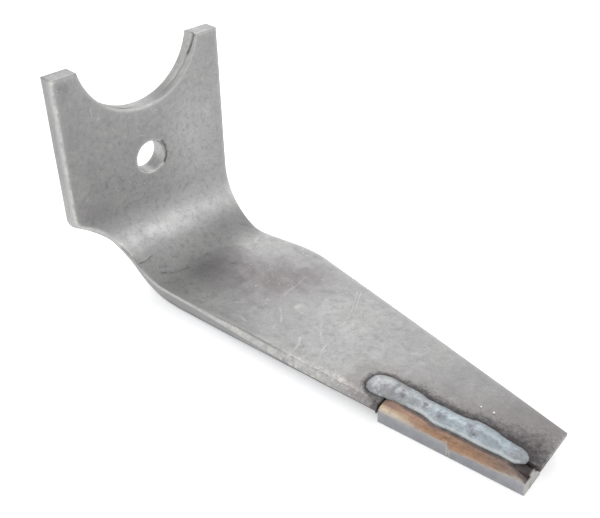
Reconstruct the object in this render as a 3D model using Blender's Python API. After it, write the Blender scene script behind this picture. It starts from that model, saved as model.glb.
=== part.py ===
"""Power harrow tine: a forged steel plate bent into a blade, with a carbide tipped bar welded to its edge.

Metres, +Z up. The plate stands upright with its flat face across X, the blade runs along +X, and the
tine rests on the underside of its bend and on the bar at the tip.
"""
from math import cos, pi, radians, sin, sqrt, tan

import bmesh
import bpy
from mathutils import Matrix, Vector

# Mounting plate: the hole is placed below the prong tops, and the middle of the notch above the hole
PLATE_HEIGHT = 0.1245
PLATE_WIDTH = 0.100
THICKNESS = 0.010
HOLE_DIAMETER = 0.017
HOLE_DROP = 0.0572
NOTCH_RADIUS = 0.0366
NOTCH_RISE = 0.0650

# Bend and the rounded shoulder that narrows the plate beside it: runs are measured along the inner face,
# from the line where the bend starts
BEND_RADIUS = 0.0337
CORNER_RADIUS = 0.008
SHOULDER_RADIUS = 0.038
NECK_RUN = 0.0305
NECK_OFFSET = 0.0258

# Blade outline: the leading edge faces -Y and the trailing edge +Y
BLADE_REACH = 0.2449
LEADING_ANGLE = radians(5.75)
LEADING_BOW = 0.0017
FLARE_START = 0.043
FLARE_RUN = 0.040
FLARE_OUT = 0.0082
TRAILING_RADIUS = 0.064
TRAILING_ANGLE = radians(7.7)
TRAILING_BOW = 0.0003
TIP_SLANT = radians(7.7)
TIP_THICKNESS = 0.0030

# Edges: all corners are broken, the leading edge is bevelled from both faces with a narrow land between
EDGE_BREAK = 0.0006
EDGE_LAND = 0.0013
TOP_BEVEL_WIDTH = 0.0022
TOP_BEVEL_SHARE = 0.6
TOP_BEVEL_START = 0.078
TOP_BEVEL_FULL = 0.114
UNDER_BEVEL_WIDTH = 0.0020
SHOULDER_BEVEL_WIDTH = 0.0035
SHOULDER_BEVEL_SHARE = 0.7
SHOULDER_BEVEL_RAMP = 0.011
SHOULDER_BEVEL_FADE = 0.030
SHOULDER_LAG = 0.0032
SHOULDER_LAG_FADE = 0.014

# Tip bar: two carbide tiles brazed to a steel carrier that laps under the thin edge of the blade
CLEARANCE = 0.0003
BAR_LENGTH = 0.0720
BAR_ANGLE = radians(8.0)
BAR_SETBACK = 0.0017
BAR_INSET = 0.0005
BAR_DROP = 0.0010
BAR_DEPTH = 0.0090
FOOT_DEPTH = 0.0150
TILE_THICKNESS = 0.0040
TILE_DROP = 0.0015
TILE_EDGE = 0.0003

# Weld bead over the joint between the blade and the bar
BEAD_OVERRUN = 0.0125
BEAD_SHORT = 0.0030
BEAD_HALF_WIDTH = 0.0060
BEAD_HEIGHT = 0.0022
BEAD_START_DEPTH = 0.0122
BEAD_END_DEPTH = 0.0088
BEAD_END_TURN = radians(7)

# How finely the round forms are stepped
BEND_STEPS = 28
ARC_STEPS = 12
HOLE_SIDES = 64
NOTCH_SIDES = 128
BEAD_STEPS = 28
BEAD_SIDES = 12
BRAZE_STEPS = 4

# Everything below is worked out from the sizes above
HOLE_Z = PLATE_HEIGHT - HOLE_DROP
NOTCH_Z = HOLE_Z + NOTCH_RISE
BEND_Z = THICKNESS + BEND_RADIUS
BEND_RUN = BEND_RADIUS * pi / 2
RUN_TOP = BEND_Z - PLATE_HEIGHT
RUN_TIP = BEND_RUN + BLADE_REACH - BEND_RADIUS
SIDE = PLATE_WIDTH / 2

# Leading side: plate side, rounded corner, hollow shoulder arc, then the leading edge
NECK_Y = -NECK_OFFSET
ARC_RUN = NECK_RUN + SHOULDER_RADIUS * sin(LEADING_ANGLE)
ARC_Y = NECK_Y - SHOULDER_RADIUS * cos(LEADING_ANGLE)
CORNER_Y = -SIDE + CORNER_RADIUS
CORNER_RUN = ARC_RUN - sqrt((SHOULDER_RADIUS + CORNER_RADIUS) ** 2 - (CORNER_Y - ARC_Y) ** 2)
TANGENT_RUN = CORNER_RUN + (ARC_RUN - CORNER_RUN) * CORNER_RADIUS / (SHOULDER_RADIUS + CORNER_RADIUS)

# Trailing side: plate side, flare, rounded hip, then the trailing edge
HIP_RUN = FLARE_START + FLARE_RUN
HIP_Y = SIDE + FLARE_OUT
FLARE_SLOPE = FLARE_OUT / FLARE_RUN
TRAILING_SLOPE = tan(TRAILING_ANGLE)


def ramp(value, start, end, low, high):
    """Go evenly from low at start to high at end, and stay level outside."""
    share = min(1.0, max(0.0, (value - start) / (end - start)))
    return low + (high - low) * share


def bow(run, start, end, amount):
    """Sideways bulge of a nearly straight edge, largest halfway."""
    share = min(1.0, max(0.0, (run - start) / (end - start)))
    return 4 * amount * share * (1 - share)


def leading_edge(run):
    """Y of the leading side at a distance along the inner face."""
    if run <= CORNER_RUN:
        return -SIDE
    if run <= TANGENT_RUN:
        return CORNER_Y - sqrt(CORNER_RADIUS ** 2 - (run - CORNER_RUN) ** 2)
    if run <= NECK_RUN:
        return ARC_Y + sqrt(SHOULDER_RADIUS ** 2 - (ARC_RUN - run) ** 2)
    straight = NECK_Y + (run - NECK_RUN) * tan(LEADING_ANGLE)
    return straight - bow(run, NECK_RUN, RUN_TIP, LEADING_BOW)


def trailing_edge(run):
    """Y of the trailing side: the flare and the edge are joined by an arc that touches both."""
    if run <= FLARE_START:
        return SIDE
    turn = (FLARE_SLOPE + TRAILING_SLOPE) / 2
    half = TRAILING_RADIUS * turn
    if run < HIP_RUN - half:
        return SIDE + FLARE_SLOPE * (run - FLARE_START)
    straight = HIP_Y - TRAILING_SLOPE * (run - HIP_RUN)
    if run < HIP_RUN + half:
        return straight - (HIP_RUN + half - run) ** 2 / (2 * TRAILING_RADIUS)
    return straight + bow(run, HIP_RUN + half, RUN_TIP, TRAILING_BOW)


def thickness(run):
    """Full in the plate and the bend, then thinning evenly to the tip."""
    return ramp(run, BEND_RUN, RUN_TIP, THICKNESS, TIP_THICKNESS)


def top_bevel(run):
    """Width and depth of the bevel on the upper corner of the leading edge."""
    full = TOP_BEVEL_SHARE * (thickness(run) - EDGE_LAND)
    width = ramp(run, TOP_BEVEL_START, TOP_BEVEL_FULL, EDGE_BREAK, TOP_BEVEL_WIDTH)
    return width, ramp(run, TOP_BEVEL_START, TOP_BEVEL_FULL, EDGE_BREAK, full)


def under_bevel(run):
    """Width and depth of the bevel on the lower corner: deepest beside the shoulder."""
    wall = thickness(run)
    start = TANGENT_RUN
    full = start + SHOULDER_BEVEL_RAMP
    if run <= NECK_RUN:
        width = ramp(run, start, full, EDGE_BREAK, SHOULDER_BEVEL_WIDTH)
        return width, ramp(run, start, full, EDGE_BREAK, SHOULDER_BEVEL_SHARE * wall)
    end = NECK_RUN + SHOULDER_BEVEL_FADE
    width = ramp(run, NECK_RUN, end, SHOULDER_BEVEL_WIDTH, UNDER_BEVEL_WIDTH)
    blade_depth = (1 - TOP_BEVEL_SHARE) * (wall - EDGE_LAND)
    return width, ramp(run, NECK_RUN, end, SHOULDER_BEVEL_SHARE * wall, blade_depth)


def cross_section(run):
    """Eight (y, depth) points around the sheet; depth counts from the inner and upper face."""
    near = leading_edge(run)
    lag = ramp(run, TANGENT_RUN, TANGENT_RUN + SHOULDER_LAG_FADE, SHOULDER_LAG, 0.0)
    near_low = leading_edge(run - lag)
    far = trailing_edge(run)
    wall = thickness(run)
    top_width, top_depth = top_bevel(run)
    under_width, under_depth = under_bevel(run)
    return [
        (near, top_depth),
        (near_low, wall - under_depth),
        (near_low + under_width, wall),
        (far - EDGE_BREAK, wall),
        (far, wall - EDGE_BREAK),
        (far, EDGE_BREAK),
        (far - EDGE_BREAK, 0.0),
        (near + top_width, 0.0),
    ]


def bend(run, y, depth):
    """Place a point of the flat sheet on the bent tine."""
    if run <= 0.0:
        return Vector((-depth, y, BEND_Z - run))
    if run <= BEND_RUN:
        angle = run / BEND_RADIUS
        radius = BEND_RADIUS + depth
        return Vector((BEND_RADIUS - radius * cos(angle), y, BEND_Z - radius * sin(angle)))
    return Vector((BEND_RADIUS + run - BEND_RUN, y, THICKNESS - depth))


def stations():
    """Distances along the sheet at which the loft has a cross-section, in order."""
    runs = {RUN_TOP, RUN_TOP / 2, FLARE_START, NECK_RUN, TOP_BEVEL_START, TOP_BEVEL_FULL}
    for step in range(ARC_STEPS + 1):
        share = step / ARC_STEPS
        corner = sin(share * pi / 2)
        runs.add(CORNER_RUN + corner * (TANGENT_RUN - CORNER_RUN))
        runs.add(TANGENT_RUN + share ** 2 * (NECK_RUN - TANGENT_RUN))
    for step in range(BEND_STEPS + 1):
        runs.add(BEND_RUN * step / BEND_STEPS)
    for step in range(BEND_STEPS + 1):
        runs.add(BEND_RUN + (RUN_TIP - BEND_RUN) * step / BEND_STEPS)
    ordered = []
    for run in sorted(runs):
        if not ordered or run - ordered[-1] > EDGE_BREAK / 2:
            ordered.append(run)
    ordered[-1] = RUN_TIP
    return ordered


def make_object(name, mesh_data, collection):
    """Turn a bmesh into a named object of a collection."""
    bmesh.ops.recalc_face_normals(mesh_data, faces=mesh_data.faces)
    mesh = bpy.data.meshes.new(name)
    mesh_data.to_mesh(mesh)
    mesh_data.free()
    obj = bpy.data.objects.new(name, mesh)
    collection.objects.link(obj)
    return obj


def loft(rings):
    """Close a row of equal rings of points into one body with flat ends."""
    body = bmesh.new()
    rows = [[body.verts.new(point) for point in ring] for ring in rings]
    for row, following in zip(rows, rows[1:]):
        for index in range(len(row)):
            after = (index + 1) % len(row)
            body.faces.new((row[index], row[after], following[after], following[index]))
    body.faces.new(rows[0])
    body.faces.new(reversed(rows[-1]))
    return body


def cut(obj, cutter):
    """Subtract a cutter and keep it as a hidden guide."""
    cutter.hide_render = True
    cutter.display_type = "WIRE"
    modifier = obj.modifiers.new("cut " + cutter.name, "BOOLEAN")
    modifier.operation = "DIFFERENCE"
    modifier.solver = "EXACT"
    modifier.object = cutter


def round_cutter(name, radius, height, sides):
    """Cylinder along X through the plate, at a height above the floor."""
    body = bmesh.new()
    bmesh.ops.create_cone(body, cap_ends=True, segments=sides, radius1=radius, radius2=radius,
                          depth=4 * THICKNESS, matrix=Matrix.Rotation(pi / 2, 4, "Y"))
    obj = make_object(name, body, cutters)
    obj.location = (-THICKNESS / 2, 0.0, height)
    return obj


def box(low, high):
    """Box between two corners."""
    body = bmesh.new()
    bmesh.ops.create_cube(body, size=1.0)
    low = Vector(low)
    high = Vector(high)
    for vert in body.verts:
        share = vert.co + Vector((0.5, 0.5, 0.5))
        vert.co = low + Vector(a * b for a, b in zip(share, high - low))
    return body


def bar_frame():
    """Place of the bar: its own X runs along its outer face, its own Y goes into the blade."""
    start_x = BLADE_REACH - BAR_SETBACK - BAR_LENGTH * cos(BAR_ANGLE)
    start_y = leading_edge(BEND_RUN + start_x - BEND_RADIUS) + BAR_INSET
    return Matrix.Translation((start_x, start_y, 0.0)) @ Matrix.Rotation(BAR_ANGLE, 4, "Z")


def blade_underside(x):
    """Height of the blade's lower face."""
    return THICKNESS - thickness(BEND_RUN + x - BEND_RADIUS)


def prism(name, outline, start, end, collection):
    """Extrude an outline of (y, z) points along the bar's X axis."""
    curve = bpy.data.curves.new(name, "CURVE")
    curve.dimensions = "2D"
    curve.fill_mode = "BOTH"
    curve.extrude = (end - start) / 2
    spline = curve.splines.new("POLY")
    spline.points.add(len(outline) - 1)
    for point, (y, z) in zip(spline.points, outline):
        point.co = (y, z, 0.0, 1.0)
    spline.use_cyclic_u = True
    guide = bpy.data.objects.new(name, curve)
    collection.objects.link(guide)
    depsgraph = bpy.context.evaluated_depsgraph_get()
    mesh = bpy.data.meshes.new_from_object(guide.evaluated_get(depsgraph))
    bpy.data.objects.remove(guide)
    body = bmesh.new()
    body.from_mesh(mesh)
    bpy.data.meshes.remove(mesh)
    bmesh.ops.remove_doubles(body, verts=body.verts, dist=1e-6)
    upright = Matrix(((0, 0, 1, (start + end) / 2), (1, 0, 0, 0), (0, 1, 0, 0), (0, 0, 0, 1)))
    body.transform(upright)
    return make_object(name, body, collection)


def material(name, colour, roughness, metallic):
    """Plain surface with the colour that the part shows."""
    surface = bpy.data.materials.new(name)
    surface.use_nodes = True
    shader = surface.node_tree.nodes["Principled BSDF"]
    shader.inputs["Base Color"].default_value = (*colour, 1.0)
    shader.inputs["Roughness"].default_value = roughness
    shader.inputs["Metallic"].default_value = metallic
    return surface


def finish(obj, surface):
    """Give a piece its material and smooth its round stretches."""
    obj.data.materials.append(surface)
    obj.data.shade_smooth()
    obj.data.set_sharp_from_angle(angle=radians(30))


def build_body():
    """The forged body: lofted along the bend, then notched, drilled and cut back for the bar."""
    rings = []
    for run in stations():
        ring = []
        for y, depth in cross_section(run):
            slant = tan(TIP_SLANT) * y if run == RUN_TIP else 0.0
            ring.append(bend(run - slant, y, depth))
        rings.append(ring)
    body = make_object("tine_body", loft(rings), parts)
    cut(body, round_cutter("hub_notch", NOTCH_RADIUS, NOTCH_Z, NOTCH_SIDES))
    cut(body, round_cutter("bolt_hole", HOLE_DIAMETER / 2, HOLE_Z, HOLE_SIDES))
    low = (-CLEARANCE, -PLATE_WIDTH, -THICKNESS)
    high = (2 * BAR_LENGTH, BAR_DEPTH + CLEARANCE, 2 * THICKNESS)
    seat = make_object("bar_seat", box(low, high), cutters)
    seat.matrix_world = BAR
    cut(body, seat)
    finish(body, forged_steel)
    return body


def build_carrier():
    """Steel carrier: an upright leg in the blade's cut-out and a foot that laps under the blade."""
    top = THICKNESS - BAR_DROP
    back = TILE_THICKNESS + CLEARANCE
    foot_top = top / 2
    outline = [
        (back, 0.0),
        (FOOT_DEPTH, 0.0),
        (FOOT_DEPTH, foot_top),
        (BAR_DEPTH, foot_top),
        (BAR_DEPTH, top),
        (back, top),
    ]
    carrier = prism("tip_carrier", outline, 0.0, BAR_LENGTH, parts)
    for vert in carrier.data.vertices:
        if abs(vert.co.z - foot_top) < CLEARANCE / 10:
            vert.co.z = blade_underside((BAR @ vert.co).x) - CLEARANCE
    carrier.matrix_world = BAR
    finish(carrier, carrier_steel)
    return carrier


def build_tile(name, start, end):
    """One carbide tile on the outer face of the carrier."""
    body = box((start, 0.0, 0.0), (end, TILE_THICKNESS, THICKNESS - BAR_DROP - TILE_DROP))
    bmesh.ops.bevel(body, geom=body.edges[:], offset=TILE_EDGE, segments=1, affect="EDGES")
    tile = make_object(name, body, parts)
    tile.matrix_world = BAR
    finish(tile, carbide)
    return tile


def build_braze():
    """Run of braze in the corner over the tiles, against the carrier."""
    low = THICKNESS - BAR_DROP - TILE_DROP + CLEARANCE
    rise = TILE_DROP - CLEARANCE
    outline = [(TILE_THICKNESS, low)]
    for step in range(BRAZE_STEPS, -1, -1):
        angle = pi / 2 * step / BRAZE_STEPS
        inward = (TILE_THICKNESS - TILE_EDGE) * (1 - cos(angle))
        outline.append((TILE_EDGE + inward, low + rise * sin(angle)))
    braze = prism("braze_run", outline, TILE_EDGE, BAR_LENGTH - TILE_EDGE, parts)
    braze.matrix_world = BAR
    finish(braze, braze_metal)
    return braze


def build_bead():
    """Weld bead: a low rounded ridge whose root steps down from the blade onto the bar."""
    floor = THICKNESS - BAR_DROP + CLEARANCE
    foot = THICKNESS + CLEARANCE
    rise = BEAD_HEIGHT - CLEARANCE
    start = -BEAD_OVERRUN
    end = BAR_LENGTH - BEAD_SHORT
    rings = []
    for step in range(BEAD_STEPS + 1):
        turn = BEAD_END_TURN + (pi - 2 * BEAD_END_TURN) * step / BEAD_STEPS
        share = (1 - cos(turn)) / 2
        along = start + (end - start) * share
        middle = BEAD_START_DEPTH + (BEAD_END_DEPTH - BEAD_START_DEPTH) * share
        reach = min(1.0, min(along - start, end - along) / BEAD_HALF_WIDTH)
        swell = sqrt(1 - (1 - reach) ** 2)
        half_width = BEAD_HALF_WIDTH * swell
        ring = []
        for side in range(BEAD_SIDES + 1):
            angle = pi * side / BEAD_SIDES
            ring.append((along, middle + half_width * cos(angle), foot + rise * swell * sin(angle)))
        ring.append((along, middle - half_width, floor))
        ring.append((along, middle + half_width, floor))
        rings.append(ring)
    bead = make_object("weld_bead", loft(rings), parts)
    bead.matrix_world = BAR
    over_blade = box((-PLATE_WIDTH, BAR_DEPTH - CLEARANCE, 0.0), (2 * BAR_LENGTH, PLATE_WIDTH, foot))
    before_bar = box((-PLATE_WIDTH, -PLATE_WIDTH, 0.0), (CLEARANCE, PLATE_WIDTH, foot))
    for name, body in (("bead_over_blade", over_blade), ("bead_before_bar", before_bar)):
        cutter = make_object(name, body, cutters)
        cutter.matrix_world = BAR
        cut(bead, cutter)
    finish(bead, weld_metal)
    return bead


def centre_on_floor(objects):
    """Move the whole tine so that its box stands centred on the origin."""
    depsgraph = bpy.context.evaluated_depsgraph_get()
    points = []
    for obj in objects:
        evaluated = obj.evaluated_get(depsgraph)
        points += [evaluated.matrix_world @ vert.co for vert in evaluated.data.vertices]
    middle = [(min(p[axis] for p in points) + max(p[axis] for p in points)) / 2 for axis in (0, 1)]
    root.location = (-middle[0], -middle[1], -min(p.z for p in points))


for old in list(bpy.data.objects):
    bpy.data.objects.remove(old, do_unlink=True)

parts = bpy.data.collections.new("power_harrow_tine")
cutters = bpy.data.collections.new("cutters")
bpy.context.scene.collection.children.link(parts)
bpy.context.scene.collection.children.link(cutters)

forged_steel = material("forged_steel", (0.36, 0.355, 0.35), 0.5, 0.85)
carrier_steel = material("carrier_steel", (0.44, 0.41, 0.36), 0.45, 0.8)
carbide = material("carbide", (0.27, 0.275, 0.29), 0.4, 0.7)
braze_metal = material("braze", (0.45, 0.26, 0.15), 0.4, 0.85)
weld_metal = material("weld_metal", (0.36, 0.43, 0.45), 0.4, 0.8)

BAR = bar_frame()
tile_end = (BAR_LENGTH - CLEARANCE) / 2
pieces = [
    build_body(),
    build_carrier(),
    build_tile("carbide_tile_inner", 0.0, tile_end),
    build_tile("carbide_tile_outer", BAR_LENGTH - tile_end, BAR_LENGTH),
    build_braze(),
    build_bead(),
]

root = bpy.data.objects.new("tine_origin", None)
parts.objects.link(root)
for child in list(parts.objects) + list(cutters.objects):
    if child is not root:
        child.parent = root
centre_on_floor(pieces)
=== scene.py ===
from math import asin, cos, hypot, pi, radians, sin, sqrt, tan

import bmesh
import bpy
import numpy as np
from mathutils import Matrix, Vector, noise
from mathutils.geometry import delaunay_2d_cdt


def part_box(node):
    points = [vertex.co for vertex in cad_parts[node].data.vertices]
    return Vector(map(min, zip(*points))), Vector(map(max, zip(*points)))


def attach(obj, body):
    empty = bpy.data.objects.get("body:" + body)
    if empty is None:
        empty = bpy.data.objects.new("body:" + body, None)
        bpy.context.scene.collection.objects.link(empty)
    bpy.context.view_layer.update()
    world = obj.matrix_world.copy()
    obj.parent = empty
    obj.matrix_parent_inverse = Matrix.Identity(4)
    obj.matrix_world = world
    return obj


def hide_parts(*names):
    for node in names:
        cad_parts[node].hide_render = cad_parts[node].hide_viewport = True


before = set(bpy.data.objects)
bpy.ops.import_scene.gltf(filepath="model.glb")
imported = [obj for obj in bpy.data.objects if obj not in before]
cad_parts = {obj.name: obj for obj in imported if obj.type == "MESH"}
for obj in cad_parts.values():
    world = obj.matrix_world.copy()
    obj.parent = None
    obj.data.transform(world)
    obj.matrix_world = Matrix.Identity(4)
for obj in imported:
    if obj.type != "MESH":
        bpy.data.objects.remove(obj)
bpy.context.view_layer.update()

MM = 0.001

# Sizes of the sheet, the same as in the CAD source
PLATE_WIDTH = 0.100
THICKNESS = 0.010
HOLE_DIAMETER = 0.017
HOLE_DROP = 0.0572
NOTCH_RADIUS = 0.0366
NOTCH_RISE = 0.0650
BEND_RADIUS = 0.0337
CORNER_RADIUS = 0.008
SHOULDER_RADIUS = 0.038
NECK_RUN = 0.0305
NECK_OFFSET = 0.0258
BLADE_REACH = 0.2449
LEADING_ANGLE = radians(5.75)
LEADING_BOW = 0.0017
FLARE_START = 0.043
FLARE_RUN = 0.040
FLARE_OUT = 0.0082
TRAILING_RADIUS = 0.064
TRAILING_ANGLE = radians(7.7)
TRAILING_BOW = 0.0003
TIP_SLANT = radians(7.7)
TIP_THICKNESS = 0.0030
EDGE_BREAK = 0.0006
EDGE_LAND = 0.0013
TOP_BEVEL_WIDTH = 0.0022
TOP_BEVEL_SHARE = 0.6
TOP_BEVEL_START = 0.078
TOP_BEVEL_FULL = 0.108
TOP_BEVEL_DEEP = 0.142
UNDER_BEVEL_WIDTH = 0.0020
SHOULDER_BEVEL_WIDTH = 0.0035
SHOULDER_BEVEL_SHARE = 0.7
SHOULDER_BEVEL_RAMP = 0.011
SHOULDER_BEVEL_FADE = 0.030
SHOULDER_LAG = 0.0032
SHOULDER_LAG_FADE = 0.014
BAR_LENGTH = 0.0720
BAR_ANGLE = radians(8.0)
BAR_SETBACK = 0.0017
BAR_INSET = 0.0005
BAR_DROP = 0.0010
BAR_DEPTH = 0.0090
FOOT_DEPTH = 0.0150
TILE_THICKNESS = 0.0040
TILE_DROP = 0.0015

# Fineness of the visible meshes and softness of the corners
SKIN_STEP = 0.0009
BACK_STEP = 0.0025
EDGE_STEP = 0.0008
BEAD_STEP = 0.0006
TILE_STEP = 0.0012
LOOP_STEP = 0.0005
MARK_STEP = 0.0004
MARK_OFFSETS = (-0.0006, -0.0003, 0.0, 0.0003, 0.0006)
MARK_CLEAR = 0.001
SOFT_CORNER = 0.00025
WORN_ROUNDING = 0.0003
TILE_ROUND = 0.00028
CORNER_STEPS = 3
BEVEL_STEPS = 3
# Room between a filling grid and its loops, in steps, and the fill's option for triangles inside the loop
GRID_CLEAR = 0.55
INNER_TRIANGLES = 1
FILL_EPSILON = 1e-9
# Longest mitre at a corner as a least cosine, and how many rows of points are measured at once
MITRE_LIMIT = 0.4
BATCH = 2000

body_low, body_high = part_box("tine_body")
PLATE_HEIGHT = body_high.z
SIDE = PLATE_WIDTH / 2
ORIGIN = Vector((body_low.x + THICKNESS, body_low.y + SIDE, 0.0))
HOLE_Z = PLATE_HEIGHT - HOLE_DROP
NOTCH_Z = HOLE_Z + NOTCH_RISE
BEND_Z = THICKNESS + BEND_RADIUS
BEND_RUN = BEND_RADIUS * pi / 2
RUN_TOP = BEND_Z - PLATE_HEIGHT
RUN_TIP = BEND_RUN + BLADE_REACH - BEND_RADIUS
ARC_RUN = NECK_RUN + SHOULDER_RADIUS * sin(LEADING_ANGLE)
ARC_Y = -NECK_OFFSET - SHOULDER_RADIUS * cos(LEADING_ANGLE)
CORNER_Y = -SIDE + CORNER_RADIUS
CORNER_RUN = ARC_RUN - sqrt((SHOULDER_RADIUS + CORNER_RADIUS) ** 2 - (CORNER_Y - ARC_Y) ** 2)
TANGENT_RUN = CORNER_RUN + (ARC_RUN - CORNER_RUN) * CORNER_RADIUS / (SHOULDER_RADIUS + CORNER_RADIUS)
HIP_RUN = FLARE_START + FLARE_RUN
HIP_Y = SIDE + FLARE_OUT
BAR_TOP = THICKNESS - BAR_DROP
TILE_TOP = BAR_TOP - TILE_DROP


# ---- Outline and section of the sheet ----

def ramp(value, start, end, low, high):
    """Go evenly from low at start to high at end, and stay level outside."""
    share = min(1.0, max(0.0, (value - start) / (end - start)))
    return low + (high - low) * share


def soft(value, start, end):
    """Array of 0 before start and 1 after end, with a soft step between."""
    share = np.clip((np.asarray(value, float) - start) / (end - start), 0.0, 1.0)
    return share * share * (3 - 2 * share)


def eased(value, start, end):
    """The soft step of one number."""
    return float(soft(value, start, end))


def bell(value, reach):
    """Array of 1 where the value is 0, fading on both sides over a reach."""
    return np.exp(-(value / reach) ** 2)


def lump(spot, size=1.0):
    """Smooth noise from -1 to 1 whose lumps are about as long as size."""
    return noise.noise(Vector(spot) / size)


def bow(run, start, end, amount):
    """Sideways bulge of a nearly straight edge, largest halfway."""
    share = ramp(run, start, end, 0.0, 1.0)
    return 4 * amount * share * (1 - share)


def leading_edge(run):
    """Y of the leading side at a run along the sheet."""
    if run <= CORNER_RUN:
        return -SIDE
    if run <= TANGENT_RUN:
        return CORNER_Y - sqrt(CORNER_RADIUS ** 2 - (run - CORNER_RUN) ** 2)
    if run <= NECK_RUN:
        return ARC_Y + sqrt(SHOULDER_RADIUS ** 2 - (ARC_RUN - run) ** 2)
    straight = -NECK_OFFSET + (run - NECK_RUN) * tan(LEADING_ANGLE)
    return straight - bow(run, NECK_RUN, RUN_TIP, LEADING_BOW)


def trailing_edge(run):
    """Y of the trailing side."""
    if run <= FLARE_START:
        return SIDE
    slope = FLARE_OUT / FLARE_RUN
    half = TRAILING_RADIUS * (slope + tan(TRAILING_ANGLE)) / 2
    if run < HIP_RUN - half:
        return SIDE + slope * (run - FLARE_START)
    straight = HIP_Y - tan(TRAILING_ANGLE) * (run - HIP_RUN)
    if run < HIP_RUN + half:
        return straight - (HIP_RUN + half - run) ** 2 / (2 * TRAILING_RADIUS)
    return straight + bow(run, HIP_RUN + half, RUN_TIP, TRAILING_BOW)


def wall(run):
    """Thickness of the sheet."""
    return ramp(run, BEND_RUN, RUN_TIP, THICKNESS, TIP_THICKNESS)


def top_bevel(run):
    """Width and depth of the bevel on the upper corner of the leading edge."""
    full = TOP_BEVEL_SHARE * (wall(run) - EDGE_LAND)
    width = ramp(run, TOP_BEVEL_START, TOP_BEVEL_FULL, EDGE_BREAK, TOP_BEVEL_WIDTH)
    return width, ramp(run, TOP_BEVEL_START, TOP_BEVEL_DEEP, EDGE_BREAK, full)


def under_bevel(run):
    """Width and depth of the bevel on the lower corner of the leading edge."""
    full = TANGENT_RUN + SHOULDER_BEVEL_RAMP
    deep = SHOULDER_BEVEL_SHARE * wall(run)
    if run <= NECK_RUN:
        width = ramp(run, TANGENT_RUN, full, EDGE_BREAK, SHOULDER_BEVEL_WIDTH)
        return width, ramp(run, TANGENT_RUN, full, EDGE_BREAK, deep)
    end = NECK_RUN + SHOULDER_BEVEL_FADE
    width = ramp(run, NECK_RUN, end, SHOULDER_BEVEL_WIDTH, UNDER_BEVEL_WIDTH)
    return width, ramp(run, NECK_RUN, end, deep, (1 - TOP_BEVEL_SHARE) * (wall(run) - EDGE_LAND))


def place(sheet):
    """World places of an array of (run, y, depth) rows of the flat sheet."""
    run, y, depth = np.asarray(sheet, float).T
    angle = np.clip(run, 0.0, BEND_RUN) / BEND_RADIUS
    radius = BEND_RADIUS + depth
    before = np.minimum(run, 0.0)
    after = np.maximum(run - BEND_RUN, 0.0)
    x = BEND_RADIUS - radius * np.cos(angle) + after
    z = BEND_Z - radius * np.sin(angle) - before
    return np.column_stack((x + ORIGIN.x, y + ORIGIN.y, z))


def bar_frame():
    """Place of the bar: its own X runs along its outer face, its own Y goes into the blade."""
    start_x = BLADE_REACH - BAR_SETBACK - BAR_LENGTH * cos(BAR_ANGLE)
    start_y = leading_edge(BEND_RUN + start_x - BEND_RADIUS) + BAR_INSET
    return Matrix.Translation(ORIGIN + Vector((start_x, start_y, 0.0))) @ Matrix.Rotation(BAR_ANGLE, 4, "Z")


BAR = bar_frame()


def bar_to_sheet(along, across):
    """Run and y, on the sheet, of a place given along and across the bar."""
    world = BAR @ Vector((along, across, 0.0)) - ORIGIN
    return world.x + BEND_RUN - BEND_RADIUS, world.y


# ---- Mesh helpers ----

def resample(points, step):
    """Points evenly spaced along a line of points, with both ends kept."""
    points = np.asarray(points, float)
    along = np.concatenate(([0.0], np.cumsum(np.hypot(*np.diff(points, axis=0).T))))
    count = max(2, int(round(along[-1] / step)) + 1)
    wanted = np.linspace(0.0, along[-1], count)
    return np.column_stack([np.interp(wanted, along, points[:, axis]) for axis in (0, 1)])


def smooth_line(points, step):
    """Rounded line through control points, evenly spaced."""
    points = [np.asarray(p, float) for p in points]
    padded = [2 * points[0] - points[1]] + points + [2 * points[-1] - points[-2]]
    fine = []
    for p0, p1, p2, p3 in zip(padded, padded[1:], padded[2:], padded[3:]):
        for t in np.linspace(0.0, 1.0, 12, endpoint=False):
            fine.append(0.5 * (2 * p1 + (p2 - p0) * t + (2 * p0 - 5 * p1 + 4 * p2 - p3) * t * t
                               + (3 * p1 - p0 - 3 * p2 + p3) * t ** 3))
    fine.append(points[-1])
    return resample(fine, step)


def distance_to(points, line):
    """Distance of each point to a line of points."""
    points = np.asarray(points, float)
    line = np.asarray(line, float)
    starts, steps = line[:-1], np.diff(line, axis=0)
    lengths = np.maximum((steps ** 2).sum(1), 1e-18)
    result = np.empty(len(points))
    for first in range(0, len(points), BATCH):
        away = points[first:first + BATCH, None, :] - starts[None]
        share = np.clip((away * steps).sum(2) / lengths, 0.0, 1.0)
        gap = away - share[..., None] * steps
        result[first:first + BATCH] = np.sqrt((gap ** 2).sum(2)).min(1)
    return result


def inside(points, loop):
    """Which points lie inside a closed loop."""
    points = np.asarray(points, float)
    loop = np.asarray(loop, float)
    following = np.roll(loop, -1, axis=0)
    result = np.zeros(len(points), bool)
    for (x0, y0), (x1, y1) in zip(loop, following):
        if y0 == y1:
            continue
        crosses = (y0 > points[:, 1]) != (y1 > points[:, 1])
        result ^= crosses & (points[:, 0] < x0 + (points[:, 1] - y0) * (x1 - x0) / (y1 - y0))
    return result


def closed(loop):
    """A loop with its first point repeated at the end."""
    return np.vstack((loop, loop[:1]))


def grid_inside(outer, holes, step):
    """Even triangular grid inside a loop, clear of the loop and of the holes."""
    low, high = outer.min(0), outer.max(0)
    rows = np.arange(low[1], high[1], step * sqrt(3) / 2)
    columns = np.arange(low[0], high[0], step)
    points = np.array([(x + step / 2 * (index % 2), y) for index, y in enumerate(rows) for x in columns])
    points = points[inside(points, outer)]
    for loop in holes:
        points = points[~inside(points, loop)]
    for loop in [outer] + holes:
        points = points[distance_to(points, closed(loop)) > step * GRID_CLEAR]
    return points


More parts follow.
